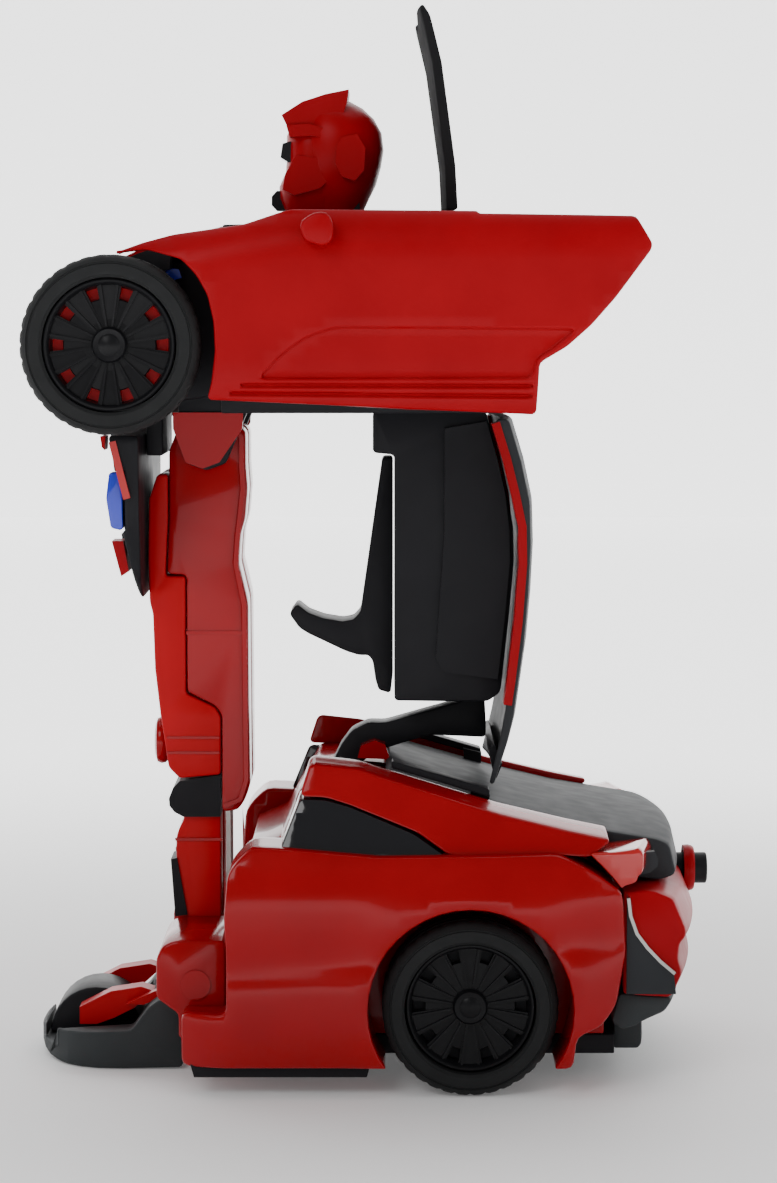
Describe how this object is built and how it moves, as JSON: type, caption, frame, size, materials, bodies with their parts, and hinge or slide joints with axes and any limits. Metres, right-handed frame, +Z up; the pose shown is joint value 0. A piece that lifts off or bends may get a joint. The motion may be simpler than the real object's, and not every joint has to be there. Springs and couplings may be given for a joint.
{
  "type": "transforming robot car",
  "caption": "Toy car standing as a robot: rear half as base, front half lifted on legs, with head, wheels and swinging panels.",
  "frame": {"origin": "centre of the bounding box at the floor", "axes": "+Z up, the robot faces -X and the car's tail points to +X, +Y to the robot's right"},
  "size_m": [0.1968, 0.16, 0.3026],
  "materials": {
    "red_plastic": "satin",
    "deep_red_plastic": "gloss",
    "black_plastic": "satin",
    "grey_plastic": "satin",
    "dark_grey_plastic": "matte",
    "tyre_rubber": "matte",
    "steel": "brushed",
    "circuit_board": "satin",
    "gear_plastic": "satin",
    "rim_plastic": "gloss",
    "window_plastic": "gloss",
    "tail_light": "clear gloss",
    "blue_lens": "clear gloss"
  },
  "bodies": {
    "base": {"base_housing": "black_plastic", "chassis": "black_plastic", "battery_door": "black_plastic", "battery_pack": "grey_plastic", "circuit_board": "circuit_board", "chassis_screw": "steel", "drive_motor": "steel", "rear_side_left": "deep_red_plastic", "rear_side_right": "deep_red_plastic", "side_window_left": "window_plastic", "side_window_right": "window_plastic", "roof_side_left": "deep_red_plastic", "roof_side_right": "deep_red_plastic", "roof_rail_left": "black_plastic", "roof_rail_right": "black_plastic", "hatch": "grey_plastic", "tail_light_left": "tail_light", "tail_light_right": "tail_light", "rear_bumper": "grey_plastic", "diffuser": "dark_grey_plastic", "ankle_housing_left": "deep_red_plastic", "ankle_housing_right": "deep_red_plastic", "foot_tray": "dark_grey_plastic", "foot_dome": "black_plastic"},
    "rear_axle": {"rear_axle": "steel", "axle_gear": "gear_plastic", "rear_tyre_left": "tyre_rubber", "rear_tyre_right": "tyre_rubber", "rear_rim_left": "rim_plastic", "rear_rim_right": "rim_plastic"},
    "pinion": {"motor_pinion": "gear_plastic"},
    "rear_button": {"rear_button": "black_plastic"},
    "legs": {"leg_front_left": "red_plastic", "leg_front_right": "red_plastic", "leg_rear_left": "deep_red_plastic", "leg_rear_right": "deep_red_plastic", "shin_left": "red_plastic", "shin_right": "red_plastic"},
    "torso": {"torso_frame": "black_plastic", "hip_pin": "steel", "spine": "black_plastic"},
    "knuckle_left": {"steering_knuckle_left": "grey_plastic"},
    "knuckle_right": {"steering_knuckle_right": "grey_plastic"},
    "front_wheel_left": {"front_tyre_left": "tyre_rubber", "front_rim_left": "rim_plastic"},
    "front_wheel_right": {"front_tyre_right": "tyre_rubber", "front_rim_right": "rim_plastic"},
    "arm_left": {"side_panel_left": "red_plastic", "door_mirror_left": "red_plastic"},
    "arm_right": {"side_panel_right": "red_plastic", "door_mirror_right": "red_plastic"},
    "head": {"helmet": "red_plastic", "face_plate": "red_plastic"},
    "windscreen": {"windscreen_panel": "black_plastic"},
    "nose": {"nose": "black_plastic", "headlight_lens_left": "blue_lens", "headlight_lens_right": "blue_lens"},
    "back_panel": {"back_panel": "grey_plastic"},
    "hook": {"hook_lever": "black_plastic"},
    "gooseneck": {"gooseneck": "black_plastic"}
  },
  "joints": [
    {"name": "rear_axle_spin", "type": "hinge", "parent": "base", "child": "rear_axle", "pos_m": [0.02685, 0, 0.0247], "axis": [0, 1, 0], "continuous": true},
    {"name": "pinion_spin", "type": "hinge", "parent": "base", "child": "pinion", "pos_m": [0.04205, 0, 0.0247], "axis": [0, 1, 0], "continuous": true},
    {"name": "button_push", "type": "slide", "parent": "base", "child": "rear_button", "axis": [-1, 0, 0], "range_m": [0, 0.002], "stiffness_N_per_m": 400},
    {"name": "leg_fold", "type": "hinge", "parent": "base", "child": "legs", "pos_m": [-0.04985, 0, 0.0295], "axis": [0, 1, 0], "range_deg": [0, 7]},
    {"name": "torso_level", "type": "hinge", "parent": "legs", "child": "torso", "pos_m": [-0.04885, 0, 0.1783], "axis": [0, 1, 0], "range_deg": [-7, 0]},
    {"name": "nose_swing", "type": "hinge", "parent": "torso", "child": "nose", "pos_m": [-0.06985, 0, 0.181], "axis": [0, 1, 0], "range_deg": [0, 20]},
    {"name": "gooseneck_lean", "type": "hinge", "parent": "base", "child": "gooseneck", "pos_m": [-0.01085, 0, 0.08], "axis": [0, 1, 0], "range_deg": [0, 4]},
    {"name": "steering_left", "type": "hinge", "parent": "torso", "child": "knuckle_left", "pos_m": [-0.07155, -0.045, 0.208], "axis": [0, 0, 1], "range_deg": [-8, 8]},
    {"name": "steering_right", "type": "hinge", "parent": "torso", "child": "knuckle_right", "pos_m": [-0.07155, 0.045, 0.208], "axis": [0, 0, 1], "range_deg": [-8, 8]},
    {"name": "front_spin_left", "type": "hinge", "parent": "knuckle_left", "child": "front_wheel_left", "pos_m": [-0.07155, -0.062, 0.2081], "axis": [0, 1, 0], "continuous": true},
    {"name": "front_spin_right", "type": "hinge", "parent": "knuckle_right", "child": "front_wheel_right", "pos_m": [-0.07155, 0.062, 0.2081], "axis": [0, 1, 0], "continuous": true},
    {"name": "arm_swing_left", "type": "hinge", "parent": "torso", "child": "arm_left", "pos_m": [0.00415, -0.041, 0.242], "axis": [-1, 0, 0], "range_deg": [0, 60]},
    {"name": "arm_swing_right", "type": "hinge", "parent": "torso", "child": "arm_right", "pos_m": [0.00415, 0.041, 0.242], "axis": [1, 0, 0], "range_deg": [0, 60]},
    {"name": "head_slide", "type": "slide", "parent": "torso", "child": "head", "axis": [0, 0, 1], "range_m": [-0.03, 0]},
    {"name": "windscreen_fold", "type": "hinge", "parent": "torso", "child": "windscreen", "pos_m": [0.02115, 0, 0.247], "axis": [0, 1, 0], "range_deg": [0, 70]},
    {"name": "back_panel_swing", "type": "hinge", "parent": "torso", "child": "back_panel", "pos_m": [0.03815, 0, 0.186], "axis": [0, -1, 0], "range_deg": [0, 50]},
    {"name": "hook_turn", "type": "hinge", "parent": "torso", "child": "hook", "pos_m": [0.00315, 0, 0.174], "axis": [0, 1, 0], "range_deg": [0, 15]}
  ],
  "couplings": [
    {"joint": "pinion_spin", "follows": "rear_axle_spin", "ratio": -2},
    {"joint": "torso_level", "follows": "leg_fold", "ratio": -1},
    {"joint": "nose_swing", "follows": "leg_fold", "ratio": 2.5},
    {"joint": "gooseneck_lean", "follows": "leg_fold", "ratio": 0.5},
    {"joint": "steering_right", "follows": "steering_left", "ratio": 1}
  ]
}
